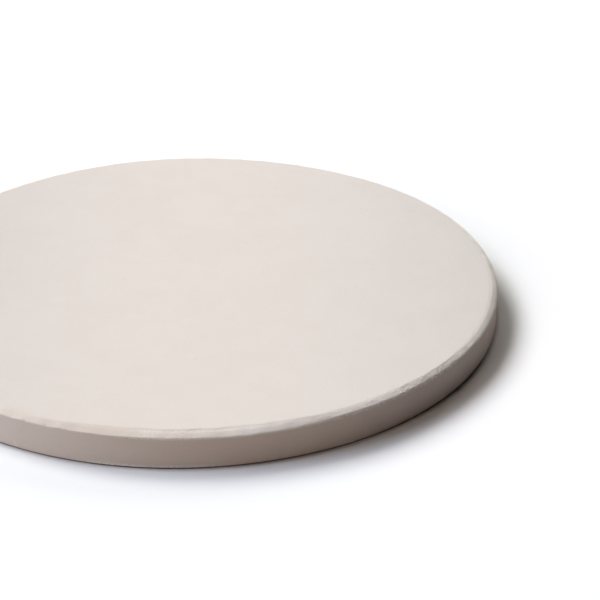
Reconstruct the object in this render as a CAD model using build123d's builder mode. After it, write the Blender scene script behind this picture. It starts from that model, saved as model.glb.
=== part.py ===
"""A round pizza stone: one solid disc of pressed, fired cordierite.

The baking face and the underside are flat and parallel. A wide, shallow bevel, slightly
crowned and fettled round the baking face before firing, turns over a tight shoulder into
an upright wall. A small undercut at the foot of the wall keeps its edge off the surface
that the stone rests on.

Lengths are in millimetres. The origin is the centre of the underside, and +Z points up
out of the baking face.
"""

import os

from build123d import *

# Whole stone
stone_diameter = 330.0
stone_thickness = 19.0

# Fettled rim round the baking face
bevel_width = 4.4
bevel_drop = 2.4
bevel_crown = 0.2
crease_radius = 1.5
shoulder_radius = 1.0

# Undercut at the foot of the wall
foot_width = 2.2
foot_height = 0.8
foot_radius = 0.4

stone_radius = stone_diameter / 2
baking_face_radius = stone_radius - bevel_width
bevel_foot_height = stone_thickness - bevel_drop
underside_radius = stone_radius - foot_width

os.makedirs("parts", exist_ok=True)

# The stone, turned from half of its section
with BuildPart() as pizza_stone:
    with BuildSketch(Plane.XZ) as half_section:
        with BuildLine():
            Polyline(
                (stone_radius, bevel_foot_height),
                (stone_radius, foot_height),
                (underside_radius, 0),
                (0, 0),
                (0, stone_thickness),
                (baking_face_radius, stone_thickness),
            )
            SagittaArc(
                (baking_face_radius, stone_thickness),
                (stone_radius, bevel_foot_height),
                bevel_crown,
            )
        make_face()
        rim_corners = half_section.vertices().group_by(Axis.X)
        crease = rim_corners[-3]
        foot, shoulder = rim_corners[-1].sort_by(Axis.Y)
        fillet(crease, crease_radius)
        fillet(shoulder, shoulder_radius)
        fillet(foot, foot_radius)
    revolve(axis=Axis.Z)

pizza_stone.part.label = "pizza_stone"
export_step(pizza_stone.part, "parts/pizza_stone.step")
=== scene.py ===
"""A round pizza stone of fired cordierite, finished in detail and shown on a white table.

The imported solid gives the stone's size and place. The stone is turned again here as one
finer mesh, with its hand-trimmed rim, torn grain and nicks, and then given its matte,
speckled ceramic finish. Lengths are in metres. Angles are in degrees and run
anticlockwise from +X, seen from above, so the front of the stone is at -90 degrees.
"""

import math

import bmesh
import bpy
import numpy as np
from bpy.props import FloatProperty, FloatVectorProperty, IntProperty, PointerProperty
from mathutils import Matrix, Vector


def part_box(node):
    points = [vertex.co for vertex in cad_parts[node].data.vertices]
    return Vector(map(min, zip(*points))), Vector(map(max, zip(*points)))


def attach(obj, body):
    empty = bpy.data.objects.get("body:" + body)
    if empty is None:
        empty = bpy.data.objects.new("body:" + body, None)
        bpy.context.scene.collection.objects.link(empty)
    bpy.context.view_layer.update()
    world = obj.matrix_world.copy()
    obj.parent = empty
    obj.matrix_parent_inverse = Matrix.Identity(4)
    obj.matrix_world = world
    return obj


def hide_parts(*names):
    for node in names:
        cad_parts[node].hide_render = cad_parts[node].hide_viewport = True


bl_info = {
    "name": "Pizza Stone",
    "version": (1, 0, 0),
    "blender": (4, 5, 0),
    "location": "View3D > Sidebar > Pizza Stone",
    "description": "Turns, trims and finishes a cordierite pizza stone and lights it on a white table",
    "category": "Object",
}

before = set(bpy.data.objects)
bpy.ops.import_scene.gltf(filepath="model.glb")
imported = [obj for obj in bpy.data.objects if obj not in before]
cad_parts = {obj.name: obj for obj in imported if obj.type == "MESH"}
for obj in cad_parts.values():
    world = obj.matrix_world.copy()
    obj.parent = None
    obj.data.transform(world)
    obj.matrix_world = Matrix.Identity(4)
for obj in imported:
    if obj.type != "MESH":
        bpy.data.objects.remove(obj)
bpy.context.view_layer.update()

STONE_NODE = "pizza_stone"
STONE_BODY = "root"
MM = 0.001
TENTH_OF_MM_PLACES = 4
NEAR = 0.01 * MM
LEAST_SHARE = 0.0001

# Rows of faces at the edge of the baking face and of the underside, how many of the face's
# rows are cut finer, and how far inside them the even grid starts
FACE_ROWS = 10
FINE_FACE_ROWS = 9
UNDERSIDE_ROWS = 2
RING_GAP = 8 * MM

# Width and drop of the bevel as the knife left it round the rim: angle, size.
# The rear, from 0 over 180 to -120 degrees, is the same handwork with other places.
BEVEL_WIDTHS = (
    (-118, 4.5 * MM),
    (-111, 3.2 * MM),
    (-101, 5.3 * MM),
    (-92, 4.7 * MM),
    (-78, 4.8 * MM),
    (-66, 3.4 * MM),
    (-59, 3.4 * MM),
    (-52, 3.7 * MM),
    (-44, 3.2 * MM),
    (-35, 2.9 * MM),
    (-22, 3.6 * MM),
    (-11, 3.7 * MM),
    (14, 3.8 * MM),
    (37, 3.3 * MM),
    (58, 4.6 * MM),
    (83, 5.3 * MM),
    (104, 4.1 * MM),
    (131, 4.9 * MM),
    (149, 3.5 * MM),
    (172, 4.4 * MM),
    (-161, 5.2 * MM),
    (-139, 4.0 * MM),
)
BEVEL_DROPS = (
    (-117, 2.3 * MM),
    (-106, 2.05 * MM),
    (-89, 2.1 * MM),
    (-83, 2.35 * MM),
    (-75, 2.6 * MM),
    (-68, 2.35 * MM),
    (-61, 1.6 * MM),
    (-52, 1.75 * MM),
    (-44, 1.85 * MM),
    (-37, 1.8 * MM),
    (-26, 1.9 * MM),
    (-12, 2.6 * MM),
    (5, 2.4 * MM),
    (33, 1.9 * MM),
    (61, 2.8 * MM),
    (92, 2.3 * MM),
    (118, 2.6 * MM),
    (146, 2.0 * MM),
    (178, 2.5 * MM),
    (-150, 2.2 * MM),
)
FOOT_HEIGHTS = (
    (-112, 0.6 * MM),
    (-97, 0.75 * MM),
    (-87, 0.85 * MM),
    (-74, 0.9 * MM),
    (-52, 0.9 * MM),
    (-40, 1.1 * MM),
    (-28, 1.4 * MM),
    (-12, 1.5 * MM),
    (8, 1.1 * MM),
    (70, 0.7 * MM),
    (125, 1.2 * MM),
    (-165, 0.6 * MM),
)

# Degrees over which one size round the rim eases into the next, and the step of working it out
EASING_SPAN = 7
EASING_STEP = 0.25

# Waves per turn in the small changes of the bevel, and the seeds of their starts
WIDTH_WAVES = range(31, 90, 7)
WIDTH_SEED = 3
DROP_WAVES = range(35, 110, 9)
DROP_SEED = 5

# Stretches of the rim: middle, half width and strength. Torn stretches are rough and
# crumbly, worn ones are rubbed round, and stepped ones keep the mark of the knife's point.
# Pale ones are painted light: paler and greyer, standing in for the brighter light that the bevel
# catches there. Sandy ones have a line of pale crumbs along the foot of the wall, and dusty ones a
# dusting of them on the bevel.
TORN_STRETCHES = (
    (-41, 10, 1.0),
    (-57, 8, 0.6),
    (-66, 5, 0.45),
    (62, 10, 0.6),
    (151, 14, 0.8),
    (-160, 8, 0.4),
)
WORN_STRETCHES = ((-13, 17, 1.0), (12, 15, 0.8), (-57, 24, 0.7), (103, 24, 0.8), (-141, 9, 0.5))
STEPPED_STRETCHES = ((-88, 9, 1.0), (-72, 9, 0.5), (20, 12, 0.6), (175, 12, 0.8))
SANDY_STRETCHES = ((-93, 12, 1.0), (-60, 4, 0.5), (40, 14, 0.8), (140, 20, 0.7))
PAINTED_LIGHT_STRETCHES = ((-70, 13, 0.8), (-50, 20, 0.9), (-24, 24, 1.0), (12, 34, 1.0))
DUSTY_STRETCHES = ((-56, 24, 0.5), (-86, 12, 0.6), (60, 16, 0.8), (152, 20, 0.9), (-165, 14, 0.6))

# Where a stretch starts to fade and where it has faded, as shares of its half width
STRETCH_FADE_SHARES = (0.55, 1.3)

# Chips and nicks on the rim's outer edge: angle, height, width and depth
CHIPS = (
    (-32.4, 16.4 * MM, 1.5 * MM, 0.4 * MM),
    (-44.8, 16.1 * MM, 1.6 * MM, 0.4 * MM),
    (-53.6, 17.1 * MM, 1.1 * MM, 0.35 * MM),
    (-108.9, 16.9 * MM, 1.4 * MM, 0.2 * MM),
    (-111.5, 16.9 * MM, 1.5 * MM, 0.2 * MM),
    (-115.4, 16.9 * MM, 1.9 * MM, 0.22 * MM),
    (-118.2, 16.8 * MM, 1.5 * MM, 0.2 * MM),
    (48.0, 16.8 * MM, 1.9 * MM, 0.6 * MM),
    (96.5, 16.9 * MM, 1.2 * MM, 0.4 * MM),
    (139.0, 17.0 * MM, 2.2 * MM, 0.6 * MM),
    (154.0, 16.9 * MM, 1.4 * MM, 0.5 * MM),
    (-171.0, 16.8 * MM, 1.6 * MM, 0.5 * MM),
    (-133.0, 17.0 * MM, 1.2 * MM, 0.4 * MM),
)

# Coarse grains that stand out of the bevel: angle, distance in from the wall, and width
GRAINS = (
    (-65.1, 1.6 * MM, 0.8 * MM),
    (-63.7, 1.5 * MM, 0.7 * MM),
    (-27.6, 0.6 * MM, 0.9 * MM),
    (-28.5, 0.8 * MM, 0.9 * MM),
    (-30.6, 0.7 * MM, 0.9 * MM),
    (-31.7, 1.0 * MM, 0.8 * MM),
    (-33.1, 0.6 * MM, 1.0 * MM),
    (-34.4, 0.9 * MM, 0.8 * MM),
    (-40.6, 0.8 * MM, 0.8 * MM),
    (-46.5, 0.7 * MM, 0.9 * MM),
    (-47.7, 1.0 * MM, 0.9 * MM),
    (-49.0, 0.6 * MM, 0.8 * MM),
    (-57.1, 4.6 * MM, 0.7 * MM),
    (-56.5, 3.9 * MM, 0.9 * MM),
    (-55.0, 2.8 * MM, 0.8 * MM),
    (-51.6, 3.8 * MM, 1.0 * MM),
    (-47.9, 3.3 * MM, 0.9 * MM),
    (-42.6, 2.8 * MM, 0.9 * MM),
    (-76.9, 2.2 * MM, 0.7 * MM),
    (24.0, 2.9 * MM, 0.8 * MM),
    (66.0, 3.4 * MM, 0.9 * MM),
    (147.0, 2.2 * MM, 1.0 * MM),
    (158.0, 3.0 * MM, 0.8 * MM),
)

# Sandy crumbs of body left on the wall by its foot: angle, height and width
CRUMBS = (
    (-117.6, 1.9 * MM, 1.3 * MM),
    (-115.8, 1.7 * MM, 1.0 * MM),
    (-61.5, 1.3 * MM, 1.3 * MM),
    (-59.6, 1.0 * MM, 0.9 * MM),
    (-47.6, 1.9 * MM, 1.2 * MM),
    (31.0, 1.6 * MM, 1.2 * MM),
    (112.0, 1.9 * MM, 1.4 * MM),
    (164.0, 1.5 * MM, 1.1 * MM),
)

# Ramps of wear and of tone, each with its start and its end. Heights are above the underside.
KNIFE_HEIGHTS = (11 * MM, 17 * MM)
KNIFE_RADII = (150 * MM, 156 * MM)
WORN_HEIGHTS = (13.6 * MM, 15.2 * MM)
WORN_RADII = (162.4 * MM, 163.8 * MM)
TORN_HEIGHTS = (15.2 * MM, 16.4 * MM)
SAND_HEIGHTS = (1.4 * MM, 2.6 * MM)
FACE_SAG_HEIGHTS = (15 * MM, 17 * MM)
WALL_SAG_LOW_HEIGHTS = (2 * MM, 6 * MM)
WALL_SAG_HIGH_HEIGHTS = (13 * MM, 16 * MM)

# Ramps along the distance outwards from the bevel's inner edge
STEP_RISE = (-0.1 * MM, 0.4 * MM)
STEP_FALL = (0.6 * MM, 3 * MM)
BEVEL_TONE_RISE = (-0.3 * MM, 0.5 * MM)
TORN_RISE = (-0.2 * MM, 0.5 * MM)

# Ramps along the distance below the bevel's outer edge, and outwards from the wall
WALL_TONE_RISE = (-0.2 * MM, 0.9 * MM)
WALL_SAG_RISE = (-0.5 * MM, -0.1 * MM)

# Where the rim begins, how far up the wall a change of the foot reaches, and the lowest grain
RIM_START = 150 * MM
FOOT_REACH = 5 * MM
LOWEST_GRAIN = 15 * MM

# Rubbing, tearing, dust and waves
RUB_STRENGTH = 0.5
RUB_PASSES = 16
TEARING_ELSEWHERE = 0.06
TORN_CELL = 1.0 * MM
FINE_TEARING_SIZE = 0.55 * MM
FINE_TEARING_LEVEL = 0.6
LUMP_SPREAD = 1.4
DUST_STRENGTH = 0.8
FACE_WAVE = 60 * MM
WALL_WAVE = 26 * MM

# Finish: ranges of a noise or of a cell's own value, and how strongly each effect shows
CLOUD_RANGE = (0.75, 1.25)
SMALL_CLOUD_SHARE = 0.37
CLOUD_STRENGTH = 0.08
CLOUD_TINT = (0.80, 0.76, 0.72, 1)
CELL_TONE_SHARE = 0.4
GRAIN_RANGE = (0.35, 1.05)
PLAIN_CONTRAST = 0.02
TORN_EXTRA_CONTRAST = 0.05
PALE_GRAIN_RANGE = (0.45, 0.8)
GAP_RANGE = (0.5, 0.85)
# Painted shade in the gaps between torn grains
GAP_PAINTED_SHADE_TINT = (0.86, 0.83, 0.80, 1)
SANDY_RANGE = (0.28, 0.52)
LEAST_SPOT_SHARE = 0.4
SPOT_EDGE_RANGE = (0.45, 0.15)
SPECK_WIDTH = 0.9 * MM
SPECK_RARITY = 0.7
SPECK_STRENGTH = 0.35
PINHOLE_WIDTH = 0.7 * MM
PINHOLE_RARITY = 0.6
PINHOLE_STRENGTH = 0.7
PINHOLE_SHIFT = (3.1, 1.7, 0.9)
# Painted shade inside the pinholes
PINHOLE_PAINTED_SHADE_TINT = (0.5, 0.45, 0.4, 1)
TORN_RELIEF = 1.2
PINHOLE_RELIEF = 2.0
GRAIN_HEIGHT_RANGE = (0.3, 1.1)
ROUGHNESS_RANGE = (0.86, 0.97)
SPECULAR_LEVEL = 0.25

# Lamps: azimuth from +X, elevation, apparent width, strength and tint
LAMPS = {
    "window_lamp": (135, 45, 30, 1.96, (1.05, 1.0, 0.97)),
    "window_side_lamp": (180, 45, 30, 1.13, (1.0, 1.0, 1.17)),
    "back_fill": (75, 25, 30, 0.77, (1.13, 1.0, 0.94)),
    "back_side_fill": (105, 25, 30, 0.29, (0.77, 1.0, 0.93)),
    "left_fill": (180, 8, 30, 0.88, (0.68, 1.0, 1.31)),
    "left_front_fill": (210, 8, 30, 0.24, (0.54, 1.0, 1.2)),
    "high_front_fill": (225, 25, 30, 0.47, (1.32, 1.0, 0.84)),
}

# Camera, placed so that the stone fills the frame as it does in the photograph
CAMERA_PLACE = (0.05886, -0.91113, 0.47560)
CAMERA_PITCH = 27.382
PICTURE_PIXELS = 600
FOCAL_PIXELS = 1885.25
SENSOR_WIDTH = 36

TABLE_WIDTH = 6
TABLE_TONE = (0.55, 0.55, 0.55)
TABLE_SEEN_TONE = (1.05, 1.10, 1.10)
# Painted shade: the table darkens towards the contact tone within this reach of the stone
CONTACT_SHADE_REACH = 4 * MM
CONTACT_PAINTED_SHADE_TONE = (0.20, 0.12, 0.08)
ROOM_STRENGTH = 0.005

stone_low, stone_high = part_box(STONE_NODE)
stone_spread = stone_high - stone_low


def length(name, description, default):
    """A length in metres that the sidebar shows in the scene's unit"""
    return FloatProperty(name=name, description=description, default=default, unit="LENGTH")


def tone(name, description, default):
    """A linear colour for a part of the finish"""
    return FloatVectorProperty(
        name=name, description=description, default=default, size=3, subtype="COLOR", min=0, max=1
    )


class StoneSizes(bpy.types.PropertyGroup):
    """Sizes of the pressed stone, before the knife and the wear"""

    diameter: length(
        "Diameter",
        "Width of the stone across its wall",
        round(max(stone_spread.x, stone_spread.y), TENTH_OF_MM_PLACES),
    )
    thickness: length(
        "Thickness",
        "Height of the baking face above the underside",
        round(stone_spread.z, TENTH_OF_MM_PLACES),
    )
    bevel_width: length("Bevel width", "Narrowest width of the bevel, seen from above", 2.8 * MM)
    bevel_drop: length("Bevel drop", "Least height that the bevel loses", 1.5 * MM)
    bevel_crown: length("Bevel crown", "Swelling of the bevel above a straight line", 0.1 * MM)
    crease_radius: length("Crease radius", "Rounding of the bevel's inner edge", 1.2 * MM)
    shoulder_radius: length("Shoulder radius", "Rounding of the bevel's outer edge", 0.4 * MM)
    foot_width: length("Foot width", "How far the undercut of the foot runs in", 2.4 * MM)
    foot_height: length("Foot height", "Greatest height of the undercut", 1.5 * MM)
    foot_radius: length("Foot radius", "Rounding between wall and undercut", 0.3 * MM)
    rim_row: length("Rim row", "Height of a row of faces on the bevel", 0.4 * MM)
    wall_row: length("Wall row", "Height of a row of faces on the wall", 1.3 * MM)
    fine_wall: length("Fine wall", "Height of the wall's stretch of fine rows", 1.6 * MM)
    facets: IntProperty(
        name="Facets", description="Facets round the wall of the stone", default=768, min=96
    )
    rim_cuts: IntProperty(
        name="Rim cuts", description="Extra cuts across each facet of the rim", default=2, min=0
    )


class StoneWear(bpy.types.PropertyGroup):
    """Depths of the handwork and the wear on the stone"""

    crease_softness: length("Crease softness", "How gently the knife enters the face", 0.5 * MM)
    width_wander: length("Width wander", "Small changes of the bevel's width", 0.22 * MM)
    drop_wander: length("Drop wander", "Small changes of the bevel's drop", 0.1 * MM)
    step_depth: length("Step depth", "Depth of the mark of the knife's point", 0.16 * MM)
    torn_depth: length("Torn depth", "Depth of the gaps among torn-up grains", 0.34 * MM)
    fine_torn_depth: length("Fine torn depth", "Depth of the finer tearing", 0.2 * MM)
    grain_height: length("Grain height", "How far a coarse grain stands out", 0.38 * MM)
    crumb_height: length("Crumb height", "How far a crumb stands out of the wall", 0.15 * MM)
    face_sag: length("Face sag", "Depth of the face's slow unevenness", 0.12 * MM)
    wall_sag: length("Wall sag", "Depth of the wall's slow unevenness", 0.1 * MM)


class StoneFinish(bpy.types.PropertyGroup):
    """Colours and grain of the fired stone"""

    centre_tone: tone("Centre tone", "Colour of the face at its middle", (0.80, 0.755, 0.686))
    # Painted shade: the face greys from the centre tone to this tone towards its left and right edges
    margin_painted_shade_tone: tone(
        "Margin tone", "Colour of the face at its left and right edges", (0.675, 0.648, 0.602)
    )
    bevel_tone: tone("Bevel tone", "Colour of the trimmed bevel", (0.81, 0.735, 0.64))
    # Painted light: the bevel turns towards this tone on its pale stretches
    painted_light_tone: tone("Pale tone", "Colour of the bevel's palest stretches", (0.99, 0.96, 0.89))
    wall_tone: tone("Wall tone", "Colour of the pressed wall", (0.72, 0.61, 0.53))
    sand_tone: tone("Sand tone", "Colour of crumbs and of sandy patches", (0.99, 0.93, 0.85))
    speck_tone: tone("Speck tone", "Colour of the iron specks", (0.42, 0.33, 0.26))
    grain_size: length("Grain size", "Width of the body's fine grains", 0.5 * MM)
    torn_size: length("Torn size", "Width of the torn-up grains", 1.0 * MM)
    mottle_size: length("Mottle size", "Width of the face's soft clouds", 34 * MM)
    speck_spacing: length("Speck spacing", "Distance between places for specks", 5 * MM)
    pinhole_spacing: length("Pinhole spacing", "Distance between places for pinholes", 7 * MM)
    relief: length("Relief", "Depth of the grain that is too fine for the mesh", 0.07 * MM)


class StageSettings(bpy.types.PropertyGroup):
    """Brightness of the lamps"""

    lamp_strength: FloatProperty(
        name="Lamp strength", description="Scales the strength of all lamps", default=1.0, min=0
    )


def select(piece, kind, test):
    """Selects the vertices, edges or faces that pass a test, and nothing else"""
    bpy.ops.mesh.select_mode(type=kind)
    bpy.ops.mesh.select_all(action="DESELECT")
    shape = bmesh.from_edit_mesh(piece.data)
    elements = {"VERT": shape.verts, "EDGE": shape.edges, "FACE": shape.faces}[kind]
    for element in elements:
        if test(element):
            element.select_set(True)
    bmesh.update_edit_mesh(piece.data)


def on_ring(radius, height):
    """A test for the edges of one ring round the stone"""

    def test(edge):
        off_radius = max(abs(vertex.co.xy.length - radius) for vertex in edge.verts)
        off_height = max(abs(vertex.co.z - height) for vertex in edge.verts)
        return max(off_radius, off_height) < NEAR

    return test


def runs_round(low, inside):
    """A test for the edges that run round the stone, above a height and outside a radius"""

    def test(edge):
        start, end = (vertex.co for vertex in edge.verts)
        level = abs(start.z - end.z) < NEAR and abs(start.xy.length - end.xy.length) < NEAR
        return level and start.z > low - NEAR and start.xy.length > inside - NEAR

    return test


def walk(start, heading, turn, distance, row):
    """Points of a line or an arc of the section, about a row apart, and the heading at its end

    A heading is the angle below level of a step outwards: 0 on the baking face, a quarter
    turn down the wall and a half turn inwards across the underside.
    """
    steps = max(2, round(distance / row)) if turn else max(1, round(distance / row))
    radius, height = start
    points = []
    for step in range(steps):
        middle = heading + turn * (step + 0.5) / steps
        stride = distance / steps
        if turn:
            stride *= math.sin(turn / steps / 2) / (turn / steps / 2)
        radius += stride * math.cos(middle)
        height -= stride * math.sin(middle)
        points.append((radius, height))
    return points, heading + turn


def rim_section(sizes):
    """Radius and height of each ring, from the baking face round the rim to the underside"""
    radius = sizes.diameter / 2
    quarter = math.pi / 2
    chord = math.hypot(sizes.bevel_width, sizes.bevel_drop)
    bevel_radius = (chord**2 / 4 + sizes.bevel_crown**2) / (2 * sizes.bevel_crown)
    half_turn = math.asin(chord / 2 / bevel_radius)
    bevel_start = math.atan2(sizes.bevel_drop, sizes.bevel_width) - half_turn
    setback = sizes.crease_radius * math.tan(bevel_start / 2)
    face_edge = radius - sizes.bevel_width - setback
    reach = radius - face_edge - sizes.crease_radius * math.sin(bevel_start)
    bevel_end = math.asin(
        (reach + bevel_radius * math.sin(bevel_start) - sizes.shoulder_radius)
        / (bevel_radius - sizes.shoulder_radius)
    )
    foot_turn = quarter - math.atan2(sizes.foot_height, sizes.foot_width)
    foot_setback = sizes.foot_radius * math.tan(foot_turn / 2)
    foot_slope = math.hypot(sizes.foot_height, sizes.foot_width) - foot_setback
    shoulder_turn = quarter - bevel_end

    rings = [(face_edge, sizes.thickness)]
    heading = 0
    for turn, distance, row in (
        (bevel_start, sizes.crease_radius * bevel_start, sizes.rim_row),
        (bevel_end - bevel_start, bevel_radius * (bevel_end - bevel_start), sizes.rim_row),
        (shoulder_turn, sizes.shoulder_radius * shoulder_turn, sizes.rim_row),
        (0, sizes.fine_wall, sizes.rim_row),
    ):
        points, heading = walk(rings[-1], heading, turn, distance, row)
        rings += points
    fine_low = rings[-1][1]
    for turn, distance, row in (
        (0, fine_low - sizes.foot_height - foot_setback, sizes.wall_row),
        (foot_turn, sizes.foot_radius * foot_turn, sizes.rim_row),
        (0, foot_slope, sizes.wall_row),
    ):
        points, heading = walk(rings[-1], heading, turn, distance, row)
        rings += points
    return rings, fine_low


def close_face(stone, height, edge_radius, border_rows, ring):
    """Closes the top or the underside with rows of quads at its edge and an even grid inside"""
    row = bpy.context.scene.stone_sizes.rim_row
    upwards = 1 if height > 0 else -1
    select(stone, "EDGE", on_ring(edge_radius, height))
    border_radius = edge_radius
    for _ in range(border_rows):
        bpy.ops.mesh.extrude_region_move()
        shrink = (border_radius - row) / border_radius
        bpy.ops.transform.resize(value=(shrink, shrink, 1))
        border_radius -= row
    ring_radius = border_radius - RING_GAP
    lifted = height + upwards * RING_GAP
    bpy.ops.mesh.primitive_circle_add(vertices=ring, radius=ring_radius, location=(0, 0, lifted))
    outer = on_ring(border_radius, height)
    inner = on_ring(ring_radius, lifted)
    select(stone, "EDGE", lambda edge: outer(edge) or inner(edge))
    bpy.ops.mesh.bridge_edge_loops()
    select(stone, "EDGE", inner)
    bpy.ops.transform.translate(value=(0, 0, height - lifted))
    bpy.ops.mesh.fill_grid(span=ring // 4)


def press_blank(sizes):
    """The stone as it leaves the die, with its slimmest bevel and its highest foot"""
    rings, fine_low = rim_section(sizes)
    face_edge, thickness = rings[0]
    rest_edge = rings[-1][0]

    bpy.ops.object.select_all(action="DESELECT")
    bpy.ops.mesh.primitive_circle_add(
        vertices=sizes.facets, radius=face_edge, location=(0, 0, thickness)
    )
    bpy.ops.object.transform_apply(location=True, rotation=True, scale=True)
    stone = bpy.context.object
    stone.name = "stone"
    bpy.ops.object.mode_set(mode="EDIT")
    bpy.ops.mesh.select_mode(type="EDGE")
    bpy.ops.mesh.select_all(action="SELECT")
    for (radius, height), (next_radius, next_height) in zip(rings, rings[1:]):
        down = {"value": (0, 0, next_height - height)}
        bpy.ops.mesh.extrude_region_move(TRANSFORM_OT_translate=down)
        bpy.ops.transform.resize(value=(next_radius / radius, next_radius / radius, 1))

    close_face(stone, thickness, face_edge, FACE_ROWS, ring=sizes.facets // 2)
    close_face(stone, 0, rest_edge, UNDERSIDE_ROWS, ring=sizes.facets // 4)

    select(stone, "EDGE", runs_round(fine_low, face_edge - FINE_FACE_ROWS * sizes.rim_row))
    bpy.ops.mesh.subdivide(number_cuts=sizes.rim_cuts)
    bpy.ops.mesh.select_all(action="SELECT")
    bpy.ops.mesh.normals_make_consistent(inside=False)
    bpy.ops.object.mode_set(mode="OBJECT")
    return stone


def places(stone):
    """Every vertex's angle, distance from the axis and height, and its place as rows of x, y, z"""
    points = np.empty(len(stone.data.vertices) * 3)
    stone.data.vertices.foreach_get("co", points)
    points = points.reshape(-1, 3)
    x, y, height = points.T
    return np.degrees(np.arctan2(y, x)), np.hypot(x, y), height, points


def ramp(value, start, end):
    """Rises smoothly from 0 at start to 1 at end"""
    share = np.clip((value - start) / (end - start), 0, 1)
    return share * share * (3 - 2 * share)


def eased(marks, angle):
    """A size that changes round the rim, eased between its marks"""
    mark_angles, mark_sizes = zip(*sorted(marks))
    fine = np.arange(-180, 180, EASING_STEP)
    rough = np.interp(fine, mark_angles, mark_sizes, period=360)
    window = np.hanning(round(EASING_SPAN / EASING_STEP))
    smooth = np.convolve(np.tile(rough, 3), window / window.sum(), mode="same")
    return np.interp(angle, fine, smooth[len(fine) : 2 * len(fine)], period=360)


def stretches(marks, angle):
    """Strength round the rim of some soft-ended stretches: middle, half width and strength"""
    total = np.zeros_like(angle)
    for middle, half_width, strength in marks:
        away = np.abs((angle - middle + 180) % 360 - 180)
        fade = ramp(away / half_width, *STRETCH_FADE_SHARES)
        total = np.maximum(total, strength * (1 - fade))
    return total


def wander(angle, waves, seed):
    """A small wavering round the rim, mostly within -1 to 1: some waves with random starts"""
    starts = np.random.default_rng(seed).uniform(0, 2 * math.pi, len(waves))
    total = sum(
        np.cos(np.radians(angle) * count + start) for count, start in zip(waves, starts)
    )
    return total / math.sqrt(len(waves))


def lump(points, centre, width):
    """1 at a centre, falling smoothly to 0 a little outside half a width away from it"""
    away = np.linalg.norm(points - np.array(centre), axis=1)
    return np.clip(1 - (2 * away / (LUMP_SPREAD * width)) ** 2, 0, 1) ** 2


def lumps(points, marks):
    """The highest of several lumps at each vertex: centre and width of each"""
    total = np.zeros(len(points))
    for centre, width in marks:
        total = np.maximum(total, lump(points, centre, width))
    return total


def rim_point(angle, radius, height):
    """A point at an angle round the stone"""
    turn = math.radians(angle)
    return radius * math.cos(turn), radius * math.sin(turn), height


def weigh(stone, name, share):
    """Puts each vertex's share into a new vertex group, and gives the group's name"""
    group = stone.vertex_groups.new(name=name)
    for index in np.flatnonzero(share > LEAST_SHARE):
        group.add([int(index)], min(float(share[index]), 1), "REPLACE")
    return group.name


def apply_step(stone, step):
    """Applies a modifier and takes its vertex group away"""
    bpy.ops.object.modifier_apply(modifier=step.name)
    stone.vertex_groups.clear()


def wear(stone, name, share, depth, direction="NORMAL", texture=None, level=0.0):
    """Moves the surface by a depth times each vertex's share, or times a texture as well

    A depth below 0 goes into the stone or down. The texture counts from its level.
    """
    step = stone.modifiers.new(name, "DISPLACE")
    step.vertex_group = weigh(stone, name, share)
    step.direction = direction
    step.strength = depth
    step.mid_level = level
    step.texture = texture
    step.texture_coords = "LOCAL"
    apply_step(stone, step)


def clouds(name, size, depth=2):
    """A soft noise texture with lumps of a size"""
    texture = bpy.data.textures.new(name, "CLOUDS")
    texture.noise_scale = size
    texture.noise_depth = depth
    return texture


def cells(name, size):
    """A texture of cells that is dark at each cell's middle and light in the gaps"""
    texture = bpy.data.textures.new(name, "VORONOI")
    texture.noise_scale = size
    return texture


def keep(stone, name, share):
    """Writes a share per vertex into an attribute that the finish reads"""
    attribute = stone.data.attributes.new(name, "FLOAT", "POINT")
    attribute.data.foreach_set("value", share.astype(np.float32))


def bevel_height(sizes, softness, radius, width, drop):
    """Height of the face or of the bevel at a distance from the axis"""
    across = (radius - (sizes.diameter / 2 - width)) / width
    across = (across + np.hypot(across, softness / width)) / 2
    crown = sizes.bevel_crown * drop / sizes.bevel_drop
    crown = 4 * crown * across * np.clip(1 - across, 0, None)
    return sizes.thickness - drop * across + crown


def trim_rim(stone, sizes, depths):
    """Cuts the bevel by hand: its width and its drop change as the knife goes round"""
    angle, radius, height, _ = places(stone)
    width = eased(BEVEL_WIDTHS, angle)
    width += depths.width_wander * wander(angle, WIDTH_WAVES, WIDTH_SEED)
    width = np.maximum(width, sizes.bevel_width)
    drop = eased(BEVEL_DROPS, angle)
    drop += depths.drop_wander * wander(angle, DROP_WAVES, DROP_SEED)
    drop = np.maximum(drop, sizes.bevel_drop)
    softness = depths.crease_softness
    blank = bevel_height(sizes, softness, radius, sizes.bevel_width, sizes.bevel_drop)
    cut = blank - bevel_height(sizes, softness, radius, width, drop)

    outside = radius - (sizes.diameter / 2 - width)
    step = ramp(outside, *STEP_RISE) * (1 - ramp(outside, *STEP_FALL))
    cut += depths.step_depth * step * stretches(STEPPED_STRETCHES, angle)

    fade = ramp(height, *KNIFE_HEIGHTS) * ramp(radius, *KNIFE_RADII)
    cut = np.clip(cut, 0, None) * fade
    below_edge = sizes.thickness - drop - (height - cut)
    deepest = float(cut.max())
    wear(stone, "knife", cut / deepest, -deepest, direction="Z")

    wall = ramp(below_edge, *WALL_TONE_RISE)
    keep(stone, "bevel", ramp(outside, *BEVEL_TONE_RISE))
    keep(stone, "wall", wall * (height > 0) * (radius > RIM_START))


def trim_foot(stone, sizes):
    """Lowers the corner at the foot of the wall to the height that it has at each angle"""
    angle, radius, height, _ = places(stone)
    lowering = sizes.foot_height - eased(FOOT_HEIGHTS, angle)
    below = height / sizes.foot_height
    above = (FOOT_REACH - height) / (FOOT_REACH - sizes.foot_height)
    share = np.clip(np.minimum(below, above), 0, 1) * (radius > RIM_START)
    deepest = float(lowering.max())
    wear(stone, "foot", share * lowering / deepest, -deepest, direction="Z")


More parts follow.
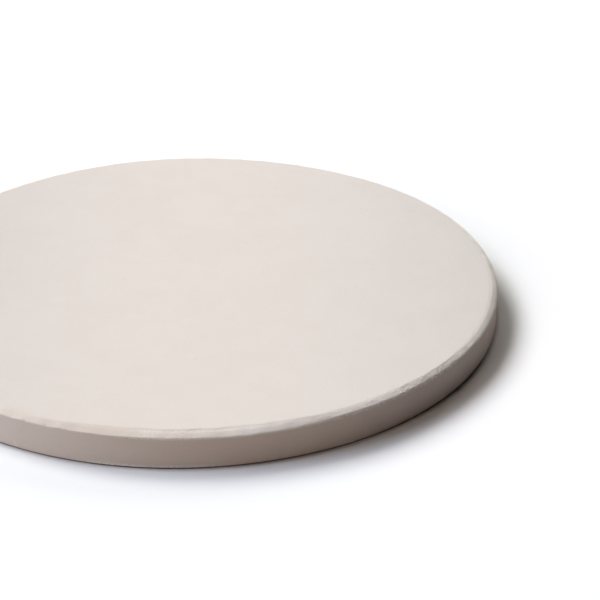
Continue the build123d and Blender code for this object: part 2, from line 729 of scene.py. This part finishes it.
def round_worn_rim(stone):
    """Rubs the rim smooth where hands and racks have worn it"""
    angle, radius, height, _ = places(stone)
    share = stretches(WORN_STRETCHES, angle)
    share *= ramp(radius, *WORN_RADII) * ramp(height, *WORN_HEIGHTS)
    rub = stone.modifiers.new("worn", "SMOOTH")
    rub.vertex_group = weigh(stone, "worn", share)
    rub.factor = RUB_STRENGTH
    rub.iterations = RUB_PASSES
    apply_step(stone, rub)


def roughen_rim(stone, sizes, depths):
    """Tears the grain of the bevel, and leaves coarse grains standing and chips missing"""
    angle, radius, height, points = places(stone)
    rim = sizes.diameter / 2
    inner_edge = rim - eased(BEVEL_WIDTHS, angle)
    on_bevel = ramp(radius - inner_edge, *TORN_RISE) * ramp(height, *TORN_HEIGHTS)
    torn = np.maximum(stretches(TORN_STRETCHES, angle), TEARING_ELSEWHERE) * on_bevel
    wear(stone, "torn", torn, -depths.torn_depth, texture=cells("torn_cells", TORN_CELL))
    fine = clouds("fine_tearing", FINE_TEARING_SIZE)
    wear(stone, "fine_torn", torn, depths.fine_torn_depth, texture=fine, level=FINE_TEARING_LEVEL)

    flat_points = points * (1, 1, 0)
    grain_marks = [(rim_point(turn, rim - inset, 0), width) for turn, inset, width in GRAINS]
    grains = lumps(flat_points, grain_marks) * (height > LOWEST_GRAIN)
    wear(stone, "grains", grains, depths.grain_height)

    for chip_angle, chip_height, chip_width, chip_depth in CHIPS:
        share = lump(points, rim_point(chip_angle, rim, chip_height), chip_width)
        wear(stone, "chip", share, -chip_depth)

    crumbs = lumps(points, [(rim_point(turn, rim, level), width) for turn, level, width in CRUMBS])
    wear(stone, "crumbs", crumbs, depths.crumb_height)
    sand = stretches(SANDY_STRETCHES, angle) * (1 - ramp(height, *SAND_HEIGHTS))
    sand *= radius > RIM_START
    dust = DUST_STRENGTH * stretches(DUSTY_STRETCHES, angle) * on_bevel
    keep(stone, "torn", torn)
    # Painted light: the pale attribute marks the stretches where the bevel is painted paler
    keep(stone, "pale", stretches(PAINTED_LIGHT_STRETCHES, angle))
    keep(stone, "sand", np.maximum.reduce([crumbs, grains, sand, dust]))


def level_face(stone, sizes):
    """Rubs off whatever stands above the baking face"""
    _, _, height, _ = places(stone)
    excess = np.clip(height - sizes.thickness, 0, None)
    highest = float(excess.max())
    if highest > 0:
        wear(stone, "level", excess / highest, -highest, direction="Z")


def unsettle_faces(stone, sizes, depths):
    """Lets the face and the wall wave slowly, as a fired disc does"""
    _, radius, height, _ = places(stone)
    up = ramp(height, *FACE_SAG_HEIGHTS)
    slow = clouds("face_waves", FACE_WAVE, depth=0)
    wear(stone, "face_sag", up, depths.face_sag, direction="Z", texture=slow, level=1)
    across = ramp(radius - sizes.diameter / 2, *WALL_SAG_RISE)
    across *= ramp(height, *WALL_SAG_LOW_HEIGHTS) * (1 - ramp(height, *WALL_SAG_HIGH_HEIGHTS))
    long_waves = clouds("wall_waves", WALL_WAVE, depth=1)
    wear(stone, "wall_sag", across, depths.wall_sag, texture=long_waves, level=1)


def is_socket(value):
    """True where a value comes from another node"""
    return isinstance(value, bpy.types.NodeSocket)


def add_node(tree, kind, inputs=None, **settings):
    """Adds a shader node, with its settings, and with its inputs as values or as links"""
    node = tree.nodes.new("ShaderNode" + kind)
    for name, value in settings.items():
        setattr(node, name, value)
    for name, value in (inputs or {}).items():
        if is_socket(value):
            tree.links.new(value, node.inputs[name])
        else:
            node.inputs[name].default_value = value
    return node


def maths(tree, operation, *values, clamp=False):
    """The result of a Math node"""
    inputs = dict(enumerate(values))
    node = add_node(tree, "Math", inputs, operation=operation, use_clamp=clamp)
    return node.outputs[0]


def blend(tree, share, first, second, blend_type="MIX"):
    """Colour between two colours"""
    node = add_node(
        tree, "Mix", {0: share, 6: first, 7: second}, data_type="RGBA", blend_type=blend_type
    )
    return node.outputs[2]


def spread(tree, value, low, high, result_low=0.0, result_high=1.0):
    """A value's range low to high, smoothly stretched to another range"""
    node = add_node(
        tree,
        "MapRange",
        {0: value, 1: low, 2: high, 3: result_low, 4: result_high},
        interpolation_type="SMOOTHSTEP",
    )
    return node.outputs[0]


def effect(name, inputs, outputs):
    """An empty node group with named inputs and outputs, and its two end nodes"""
    tree = bpy.data.node_groups.new(name, "ShaderNodeTree")
    for names, direction in ((inputs, "INPUT"), (outputs, "OUTPUT")):
        for socket_name, kind in names.items():
            tree.interface.new_socket(
                socket_name, in_out=direction, socket_type="NodeSocket" + kind
            )
    return tree, tree.nodes.new("NodeGroupInput").outputs, tree.nodes.new("NodeGroupOutput").inputs


def noise(tree, place, size, detail=2.0):
    """A soft noise with lumps of a size"""
    scale = maths(tree, "DIVIDE", 1.0, size) if is_socket(size) else 1 / size
    node = add_node(tree, "TexNoise", {"Vector": place, "Scale": scale, "Detail": detail})
    return node.outputs["Fac"]


def grains_of(tree, place, size, feature="F1"):
    """A Voronoi node with cells of a size"""
    scale = maths(tree, "DIVIDE", 1.0, size)
    return add_node(tree, "TexVoronoi", {"Vector": place, "Scale": scale}, feature=feature)


def painted_light_falloff():
    """Painted light falloff on the face: palest across its middle, with painted shade greyer towards
    its left and right edges along X
    """
    tree, given, result = effect(
        "Painted Light Falloff",
        {"Place": "Vector", "Centre": "Color", "Margin": "Color", "Reach": "Float"},
        {"Color": "Color"},
    )
    along = add_node(tree, "SeparateXYZ", {0: given["Place"]})
    share = maths(tree, "DIVIDE", along.outputs["X"], given["Reach"])
    share = maths(tree, "MULTIPLY", share, share, clamp=True)
    tone_here = blend(tree, share, given["Centre"], given["Margin"])
    tree.links.new(tone_here, result["Color"])
    return tree


def soft_mottle():
    """Slow clouds of a slightly darker, warmer tone"""
    tree, given, result = effect(
        "Soft Mottle",
        {"Place": "Vector", "Color": "Color", "Size": "Float", "Strength": "Float"},
        {"Color": "Color"},
    )
    small_size = maths(tree, "MULTIPLY", given["Size"], SMALL_CLOUD_SHARE)
    large = noise(tree, given["Place"], given["Size"], detail=1.0)
    small = noise(tree, given["Place"], small_size, detail=2.0)
    cloud = spread(tree, maths(tree, "ADD", large, small), *CLOUD_RANGE)
    share = maths(tree, "MULTIPLY", cloud, given["Strength"])
    warm = blend(tree, 1.0, given["Color"], CLOUD_TINT, "MULTIPLY")
    tree.links.new(blend(tree, share, given["Color"], warm), result["Color"])
    return tree


def fine_grain():
    """The body's own grain, as a tone and a height"""
    tree, given, result = effect(
        "Fine Grain",
        {"Place": "Vector", "Color": "Color", "Size": "Float", "Contrast": "Float"},
        {"Color": "Color", "Height": "Float"},
    )
    soft = noise(tree, given["Place"], given["Size"], detail=4.0)
    cell = grains_of(tree, given["Place"], given["Size"])
    own_tone = add_node(tree, "SeparateColor", {0: cell.outputs["Color"]}).outputs[0]
    both = maths(tree, "ADD", maths(tree, "MULTIPLY", own_tone, CELL_TONE_SHARE), soft)
    value = spread(tree, both, *GRAIN_RANGE, -1.0, 1.0)
    factor = maths(tree, "MULTIPLY_ADD", value, given["Contrast"], 1.0)
    grey = add_node(tree, "CombineColor", {0: factor, 1: factor, 2: factor}).outputs[0]
    tree.links.new(blend(tree, 1.0, given["Color"], grey, "MULTIPLY"), result["Color"])
    tree.links.new(both, result["Height"])
    return tree


def torn_grain():
    """Crumbly bevel: pale grains with painted shade in the gaps between them, as a tone and a height
    """
    tree, given, result = effect(
        "Torn Grain",
        {"Place": "Vector", "Color": "Color", "Pale": "Color", "Size": "Float", "Share": "Float"},
        {"Color": "Color", "Height": "Float"},
    )
    cell = grains_of(tree, given["Place"], given["Size"])
    own_tone = add_node(tree, "SeparateColor", {0: cell.outputs["Color"]}).outputs[0]
    pale = maths(tree, "MULTIPLY", spread(tree, own_tone, *PALE_GRAIN_RANGE), given["Share"])
    tone_here = blend(tree, pale, given["Color"], given["Pale"])
    # Painted shade: the gaps between the grains are darkened
    gap_shade = spread(tree, cell.outputs["Distance"], *GAP_RANGE)
    gap_shade = maths(tree, "MULTIPLY", gap_shade, given["Share"])
    dark = blend(tree, 1.0, tone_here, GAP_PAINTED_SHADE_TINT, "MULTIPLY")
    tree.links.new(blend(tree, gap_shade, tone_here, dark), result["Color"])
    hill = maths(tree, "SUBTRACT", 1.0, cell.outputs["Distance"])
    tree.links.new(maths(tree, "MULTIPLY", hill, given["Share"]), result["Height"])
    return tree


def scattered_spots():
    """Round spots in some of the cells of a wide net, as a mask"""
    tree, given, result = effect(
        "Scattered Spots",
        {"Place": "Vector", "Spacing": "Float", "Width": "Float", "Rarity": "Float"},
        {"Mask": "Float"},
    )
    cell = grains_of(tree, given["Place"], given["Spacing"])
    chances = add_node(tree, "SeparateColor", {0: cell.outputs["Color"]}).outputs
    chosen = maths(tree, "GREATER_THAN", chances[0], given["Rarity"])
    away = maths(tree, "MULTIPLY", cell.outputs["Distance"], given["Spacing"])
    own_width = maths(tree, "ADD", chances[1], LEAST_SPOT_SHARE)
    reach = maths(tree, "MULTIPLY", given["Width"], own_width)
    spot = spread(tree, maths(tree, "DIVIDE", away, reach), *SPOT_EDGE_RANGE)
    tree.links.new(maths(tree, "MULTIPLY", spot, chosen), result["Mask"])
    return tree


def place_effect(tree, group, inputs):
    """Puts a node group into the material, with its inputs"""
    return add_node(tree, "Group", inputs, node_tree=group).outputs


def opaque(colour):
    """A colour with full alpha"""
    return (*colour, 1)


def fired_cordierite(finish, reach):
    """Matte, unglazed ceramic: pale face with painted shade towards its left and right edges, sandy
    bevel with painted light on some stretches, tan wall, fine grain and rare specks, with painted
    shade in the torn gaps and the pinholes
    """
    material = bpy.data.materials.new("fired_cordierite")
    material.use_nodes = True
    tree = material.node_tree
    shader = tree.nodes["Principled BSDF"]
    place = add_node(tree, "TexCoord").outputs["Object"]
    bevel, wall, torn, pale, sand = (
        add_node(tree, "Attribute", attribute_name=name).outputs["Fac"]
        for name in ("bevel", "wall", "torn", "pale", "sand")
    )

    # Painted light falloff: the face is palest across its middle and carries painted shade towards its
    # left and right edges
    face_painted_falloff = place_effect(
        tree,
        painted_light_falloff(),
        {
            "Place": place,
            "Centre": opaque(finish.centre_tone),
            "Margin": opaque(finish.margin_painted_shade_tone),
            "Reach": reach,
        },
    )
    # Painted light: the bevel turns towards the paler tone on the pale stretches
    bevel_with_painted_light = blend(tree, pale, opaque(finish.bevel_tone), opaque(finish.painted_light_tone))
    body = blend(tree, bevel, face_painted_falloff["Color"], bevel_with_painted_light)
    body = blend(tree, wall, body, opaque(finish.wall_tone))
    mottle = place_effect(
        tree,
        soft_mottle(),
        {"Place": place, "Color": body, "Size": finish.mottle_size, "Strength": CLOUD_STRENGTH},
    )
    grain = place_effect(
        tree,
        fine_grain(),
        {
            "Place": place,
            "Color": mottle["Color"],
            "Size": finish.grain_size,
            "Contrast": maths(tree, "MULTIPLY_ADD", torn, TORN_EXTRA_CONTRAST, PLAIN_CONTRAST),
        },
    )
    crumbly = place_effect(
        tree,
        torn_grain(),
        {
            "Place": place,
            "Color": grain["Color"],
            "Pale": opaque(finish.sand_tone),
            "Size": finish.torn_size,
            "Share": torn,
        },
    )
    sandy = noise(tree, place, finish.torn_size)
    sandy = maths(tree, "MULTIPLY", spread(tree, sandy, *SANDY_RANGE), sand)
    dusted = blend(tree, sandy, crumbly["Color"], opaque(finish.sand_tone))
    spots = scattered_spots()
    specks = place_effect(
        tree,
        spots,
        {
            "Place": place,
            "Spacing": finish.speck_spacing,
            "Width": SPECK_WIDTH,
            "Rarity": SPECK_RARITY,
        },
    )
    speck_share = maths(tree, "MULTIPLY", specks["Mask"], SPECK_STRENGTH)
    specked = blend(tree, speck_share, dusted, opaque(finish.speck_tone))
    shift = add_node(tree, "VectorMath", {0: place, 1: PINHOLE_SHIFT}, operation="ADD")
    pinholes = place_effect(
        tree,
        spots,
        {
            "Place": shift.outputs[0],
            "Spacing": finish.pinhole_spacing,
            "Width": PINHOLE_WIDTH,
            "Rarity": PINHOLE_RARITY,
        },
    )
    # Painted shade: the pinholes are darkened as well as sunk by the bump
    pit_shaded = blend(tree, 1.0, specked, PINHOLE_PAINTED_SHADE_TINT, "MULTIPLY")
    pit_share = maths(tree, "MULTIPLY", pinholes["Mask"], PINHOLE_STRENGTH)
    tree.links.new(blend(tree, pit_share, specked, pit_shaded), shader.inputs["Base Color"])

    torn_height = maths(tree, "MULTIPLY", crumbly["Height"], TORN_RELIEF)
    pit_depth = maths(tree, "MULTIPLY", pinholes["Mask"], PINHOLE_RELIEF)
    height = maths(tree, "ADD", grain["Height"], torn_height)
    height = maths(tree, "SUBTRACT", height, pit_depth)
    relief = add_node(tree, "Bump", {"Height": height, "Distance": finish.relief, "Strength": 1.0})
    tree.links.new(relief.outputs["Normal"], shader.inputs["Normal"])
    roughness = spread(tree, grain["Height"], *GRAIN_HEIGHT_RANGE, *ROUGHNESS_RANGE)
    tree.links.new(roughness, shader.inputs["Roughness"])
    shader.inputs["Specular IOR Level"].default_value = SPECULAR_LEVEL
    return material


class PIZZASTONE_OT_add_stone(bpy.types.Operator):
    """Press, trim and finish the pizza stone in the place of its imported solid"""

    bl_idname = "pizzastone.add_stone"
    bl_label = "Add Pizza Stone"

    def execute(self, context):
        sizes = context.scene.stone_sizes
        depths = context.scene.stone_wear
        stone = press_blank(sizes)
        trim_rim(stone, sizes, depths)
        trim_foot(stone, sizes)
        round_worn_rim(stone)
        roughen_rim(stone, sizes, depths)
        level_face(stone, sizes)
        unsettle_faces(stone, sizes, depths)
        bpy.ops.object.shade_smooth()
        finish = context.scene.stone_finish
        stone.data.materials.append(fired_cordierite(finish, sizes.diameter / 2))
        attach(stone, STONE_BODY)
        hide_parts(STONE_NODE)
        return {"FINISHED"}


def camera_sees_white(tree):
    """A mask that is 1 for the rays that should meet the white backdrop"""
    path = add_node(tree, "LightPath").outputs
    either = maths(tree, "MAXIMUM", path["Is Camera Ray"], path["Is Glossy Ray"])
    return maths(tree, "MAXIMUM", either, path["Is Transmission Ray"])


def table_surface():
    """Matte table top that the camera sees as white, apart from the stone's shadow

    Right beside whatever stands on it, the table is a little darker still: painted shade from an
    ambient occlusion node.
    """
    material = bpy.data.materials.new("table_white")
    material.use_nodes = True
    tree = material.node_tree
    tree.nodes.clear()
    top = blend(tree, camera_sees_white(tree), opaque(TABLE_TONE), opaque(TABLE_SEEN_TONE))
    # Painted shade: an ambient occlusion node darkens the table right beside the stone
    contact = add_node(tree, "AmbientOcclusion", {"Distance": CONTACT_SHADE_REACH})
    shaded = blend(tree, contact.outputs["AO"], opaque(CONTACT_PAINTED_SHADE_TONE), top)
    diffuse = add_node(tree, "BsdfDiffuse", {"Color": shaded}).outputs["BSDF"]
    clear = add_node(tree, "BsdfTransparent").outputs["BSDF"]
    below = add_node(tree, "NewGeometry").outputs["Backfacing"]
    surface = add_node(tree, "MixShader", {0: below, 1: diffuse, 2: clear}).outputs[0]
    add_node(tree, "OutputMaterial", {"Surface": surface})
    return material


def light_room():
    """Faint light from all round, and a white backdrop where the camera looks past the table"""
    world = bpy.data.worlds.new("white_room")
    bpy.context.scene.world = world
    world.use_nodes = True
    tree = world.node_tree
    background = tree.nodes["Background"].inputs
    level = add_node(tree, "Mix", {0: camera_sees_white(tree), 2: ROOM_STRENGTH, 3: 1.0})
    tree.links.new(level.outputs[0], background["Strength"])
    background["Color"].default_value = (1, 1, 1, 1)


def hang_lamp(name, azimuth, elevation, apparent_width, strength, tint):
    """A wide, far lamp that shines at the stone from a direction"""
    turn, rise = math.radians(azimuth), math.radians(elevation)
    towards_lamp = Vector(
        (math.cos(rise) * math.cos(turn), math.cos(rise) * math.sin(turn), math.sin(rise))
    )
    bpy.ops.object.light_add(type="SUN", location=towards_lamp)
    lamp = bpy.context.object
    lamp.name = name
    lamp.rotation_euler = towards_lamp.to_track_quat("Z", "Y").to_euler()
    lamp.data.energy = strength
    lamp.data.color = tint
    lamp.data.angle = math.radians(apparent_width)


class PIZZASTONE_OT_add_stage(bpy.types.Operator):
    """Set the white table, the soft lamps and the camera round the stone"""

    bl_idname = "pizzastone.add_stage"
    bl_label = "Add Table and Lamps"

    def execute(self, context):
        stage = context.scene.stone_stage
        bpy.ops.mesh.primitive_plane_add(size=TABLE_WIDTH)
        table = bpy.context.object
        table.name = "table"
        table.data.materials.append(table_surface())
        light_room()
        for name, (azimuth, elevation, width, strength, tint) in LAMPS.items():
            hang_lamp(name, azimuth, elevation, width, strength * stage.lamp_strength, tint)
        bpy.ops.object.camera_add(
            location=CAMERA_PLACE, rotation=(math.radians(90 - CAMERA_PITCH), 0, 0)
        )
        camera = bpy.context.object
        camera.data.sensor_width = SENSOR_WIDTH
        camera.data.lens = SENSOR_WIDTH * FOCAL_PIXELS / PICTURE_PIXELS
        context.scene.camera = camera
        context.scene.view_settings.view_transform = "Standard"
        return {"FINISHED"}


class PIZZASTONE_PT_sidebar(bpy.types.Panel):
    """Lists the stone's and the stage's operators and settings"""

    bl_label = "Pizza Stone"
    bl_space_type = "VIEW_3D"
    bl_region_type = "UI"
    bl_category = "Pizza Stone"

    def draw(self, context):
        layout = self.layout
        scene = context.scene
        for operator, groups in (
            (PIZZASTONE_OT_add_stone, (scene.stone_sizes, scene.stone_wear, scene.stone_finish)),
            (PIZZASTONE_OT_add_stage, (scene.stone_stage,)),
        ):
            layout.operator(operator.bl_idname)
            for group in groups:
                box = layout.box()
                for name in group.__annotations__:
                    box.prop(group, name)


SETTINGS = {
    "stone_sizes": StoneSizes,
    "stone_wear": StoneWear,
    "stone_finish": StoneFinish,
    "stone_stage": StageSettings,
}
CLASSES = (
    *SETTINGS.values(),
    PIZZASTONE_OT_add_stone,
    PIZZASTONE_OT_add_stage,
    PIZZASTONE_PT_sidebar,
)


def register():
    """Adds the classes and the scene's settings"""
    for cls in CLASSES:
        bpy.utils.register_class(cls)
    for name, settings in SETTINGS.items():
        setattr(bpy.types.Scene, name, PointerProperty(type=settings))


def unregister():
    """Takes the classes and the scene's settings away"""
    for name in SETTINGS:
        delattr(bpy.types.Scene, name)
    for cls in reversed(CLASSES):
        bpy.utils.unregister_class(cls)


def main():
    """Makes the stone and the stage"""
    register()
    bpy.ops.pizzastone.add_stone()
    bpy.ops.pizzastone.add_stage()


if __name__ == "__main__":
    main()
